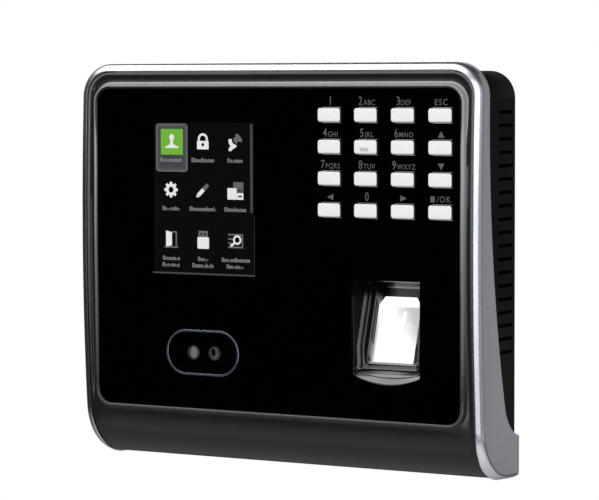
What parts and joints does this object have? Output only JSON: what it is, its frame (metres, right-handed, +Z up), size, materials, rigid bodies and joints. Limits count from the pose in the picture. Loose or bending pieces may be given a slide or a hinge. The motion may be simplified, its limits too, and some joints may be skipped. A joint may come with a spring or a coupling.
{
  "type": "fingerprint scanner terminal",
  "caption": "Wall-mounted fingerprint terminal with colour screen, twin camera, backlit keypad, slanted finger window, vented black housing and hook-on steel bracket.",
  "frame": {"origin": "on the wall plane, at the centre of the wall bracket's four screw holes, which is also the terminal's mid-height and mid-width", "axes": "+X to the right as seen from the front, +Y into the wall, +Z up; the front faces -Y"},
  "size_m": [0.1676, 0.0327, 0.1488],
  "materials": {
    "black_housing": "fine-textured black moulding",
    "silver_paint": "satin metallic silver lacquer",
    "bezel_grey": "satin dark grey lacquer",
    "front_glass": "black back-printed gloss glass",
    "black_print": "printed film",
    "adhesive": "foam tape",
    "ring_metal": "satin blue-grey metal",
    "inner_black": "moulded black",
    "lens_glass": "coated lens",
    "circuit_board": "solder mask",
    "flex_amber": "polyimide film",
    "sheet_steel": "plated sheet",
    "screen": "lit screen",
    "reader_grey": "satin grey moulding",
    "prism_glass": "lit optical glass",
    "screw_steel": "zinc plated",
    "socket_ivory": "moulded",
    "cover_rubber": "soft black rubber",
    "key_white": "translucent white, lit from behind",
    "speaker_grey": "paper and plastic",
    "wire_red": "wire insulation",
    "battery_blue": "shrink sleeve",
    "wire_black": "wire insulation",
    "bracket_steel": "zinc-plated sheet"
  },
  "bodies": {
    "housing": {"rear_housing": "black_housing", "silver_shell": "silver_paint", "front_bezel": "bezel_grey", "front_glass": "front_glass", "glass_mask": "black_print", "glass_adhesive": "adhesive", "camera_ring": "ring_metal", "camera_module": "inner_black", "camera_lens_left": "lens_glass", "camera_lens_right": "lens_glass", "infrared_board": "circuit_board", "camera_flex": "flex_amber", "display_frame": "sheet_steel", "display_panel": "screen", "display_flex": "flex_amber", "fingerprint_surround": "reader_grey", "fingerprint_prism": "prism_glass", "fingerprint_module": "inner_black", "fingerprint_board": "circuit_board", "fingerprint_ribbon": "flex_amber", "keypad_board": "circuit_board", "key_switches": "inner_black", "keypad_ribbon": "flex_amber", "keypad_screws": "screw_steel", "main_board": "circuit_board", "board_parts": "inner_black", "board_screws": "screw_steel", "network_socket": "sheet_steel", "relay_socket": "socket_ivory", "reader_socket": "socket_ivory", "power_socket": "socket_ivory", "usb_socket": "sheet_steel", "reset_switch": "inner_black", "tamper_switch": "inner_black", "speaker": "speaker_grey", "speaker_lead": "wire_red", "backup_battery": "battery_blue", "battery_lead": "wire_black", "wall_bracket": "bracket_steel", "lock_screw": "screw_steel", "housing_screws": "screw_steel"},
    "key_1": {"key_1": "key_white"},
    "key_2": {"key_2": "key_white"},
    "key_3": {"key_3": "key_white"},
    "key_escape": {"key_escape": "key_white"},
    "key_4": {"key_4": "key_white"},
    "key_5": {"key_5": "key_white"},
    "key_6": {"key_6": "key_white"},
    "key_up": {"key_up": "key_white"},
    "key_7": {"key_7": "key_white"},
    "key_8": {"key_8": "key_white"},
    "key_9": {"key_9": "key_white"},
    "key_down": {"key_down": "key_white"},
    "key_left": {"key_left": "key_white"},
    "key_0": {"key_0": "key_white"},
    "key_right": {"key_right": "key_white"},
    "key_menu": {"key_menu": "key_white"},
    "usb_cover": {"usb_cover": "cover_rubber"},
    "reset_button": {"reset_button": "key_white"},
    "tamper_plunger": {"tamper_plunger": "key_white"}
  },
  "joints": [
    {"name": "key_1_press", "type": "slide", "parent": "housing", "child": "key_1", "axis": [0, 1, 0], "range_m": [0, 0.0006], "stiffness_N_per_m": 1500, "springref_m": -0.0002},
    {"name": "key_2_press", "type": "slide", "parent": "housing", "child": "key_2", "axis": [0, 1, 0], "range_m": [0, 0.0006], "stiffness_N_per_m": 1500, "springref_m": -0.0002},
    {"name": "key_3_press", "type": "slide", "parent": "housing", "child": "key_3", "axis": [0, 1, 0], "range_m": [0, 0.0006], "stiffness_N_per_m": 1500, "springref_m": -0.0002},
    {"name": "key_escape_press", "type": "slide", "parent": "housing", "child": "key_escape", "axis": [0, 1, 0], "range_m": [0, 0.0006], "stiffness_N_per_m": 1500, "springref_m": -0.0002},
    {"name": "key_4_press", "type": "slide", "parent": "housing", "child": "key_4", "axis": [0, 1, 0], "range_m": [0, 0.0006], "stiffness_N_per_m": 1500, "springref_m": -0.0002},
    {"name": "key_5_press", "type": "slide", "parent": "housing", "child": "key_5", "axis": [0, 1, 0], "range_m": [0, 0.0006], "stiffness_N_per_m": 1500, "springref_m": -0.0002},
    {"name": "key_6_press", "type": "slide", "parent": "housing", "child": "key_6", "axis": [0, 1, 0], "range_m": [0, 0.0006], "stiffness_N_per_m": 1500, "springref_m": -0.0002},
    {"name": "key_up_press", "type": "slide", "parent": "housing", "child": "key_up", "axis": [0, 1, 0], "range_m": [0, 0.0006], "stiffness_N_per_m": 1500, "springref_m": -0.0002},
    {"name": "key_7_press", "type": "slide", "parent": "housing", "child": "key_7", "axis": [0, 1, 0], "range_m": [0, 0.0006], "stiffness_N_per_m": 1500, "springref_m": -0.0002},
    {"name": "key_8_press", "type": "slide", "parent": "housing", "child": "key_8", "axis": [0, 1, 0], "range_m": [0, 0.0006], "stiffness_N_per_m": 1500, "springref_m": -0.0002},
    {"name": "key_9_press", "type": "slide", "parent": "housing", "child": "key_9", "axis": [0, 1, 0], "range_m": [0, 0.0006], "stiffness_N_per_m": 1500, "springref_m": -0.0002},
    {"name": "key_down_press", "type": "slide", "parent": "housing", "child": "key_down", "axis": [0, 1, 0], "range_m": [0, 0.0006], "stiffness_N_per_m": 1500, "springref_m": -0.0002},
    {"name": "key_left_press", "type": "slide", "parent": "housing", "child": "key_left", "axis": [0, 1, 0], "range_m": [0, 0.0006], "stiffness_N_per_m": 1500, "springref_m": -0.0002},
    {"name": "key_0_press", "type": "slide", "parent": "housing", "child": "key_0", "axis": [0, 1, 0], "range_m": [0, 0.0006], "stiffness_N_per_m": 1500, "springref_m": -0.0002},
    {"name": "key_right_press", "type": "slide", "parent": "housing", "child": "key_right", "axis": [0, 1, 0], "range_m": [0, 0.0006], "stiffness_N_per_m": 1500, "springref_m": -0.0002},
    {"name": "key_menu_press", "type": "slide", "parent": "housing", "child": "key_menu", "axis": [0, 1, 0], "range_m": [0, 0.0006], "stiffness_N_per_m": 1500, "springref_m": -0.0002},
    {"name": "usb_cover_hinge", "type": "hinge", "parent": "housing", "child": "usb_cover", "pos_m": [-0.0618, -0.0046, -0.072], "axis": [1, 0, 0], "range_deg": [0, 95]},
    {"name": "reset_press", "type": "slide", "parent": "housing", "child": "reset_button", "axis": [0, 0, 1], "range_m": [0, 0.0005], "stiffness_N_per_m": 1200, "springref_m": -0.0002},
    {"name": "tamper_press", "type": "slide", "parent": "housing", "child": "tamper_plunger", "axis": [0, -1, 0], "range_m": [0, 0.0012], "stiffness_N_per_m": 300, "springref_m": -0.0008}
  ]
}
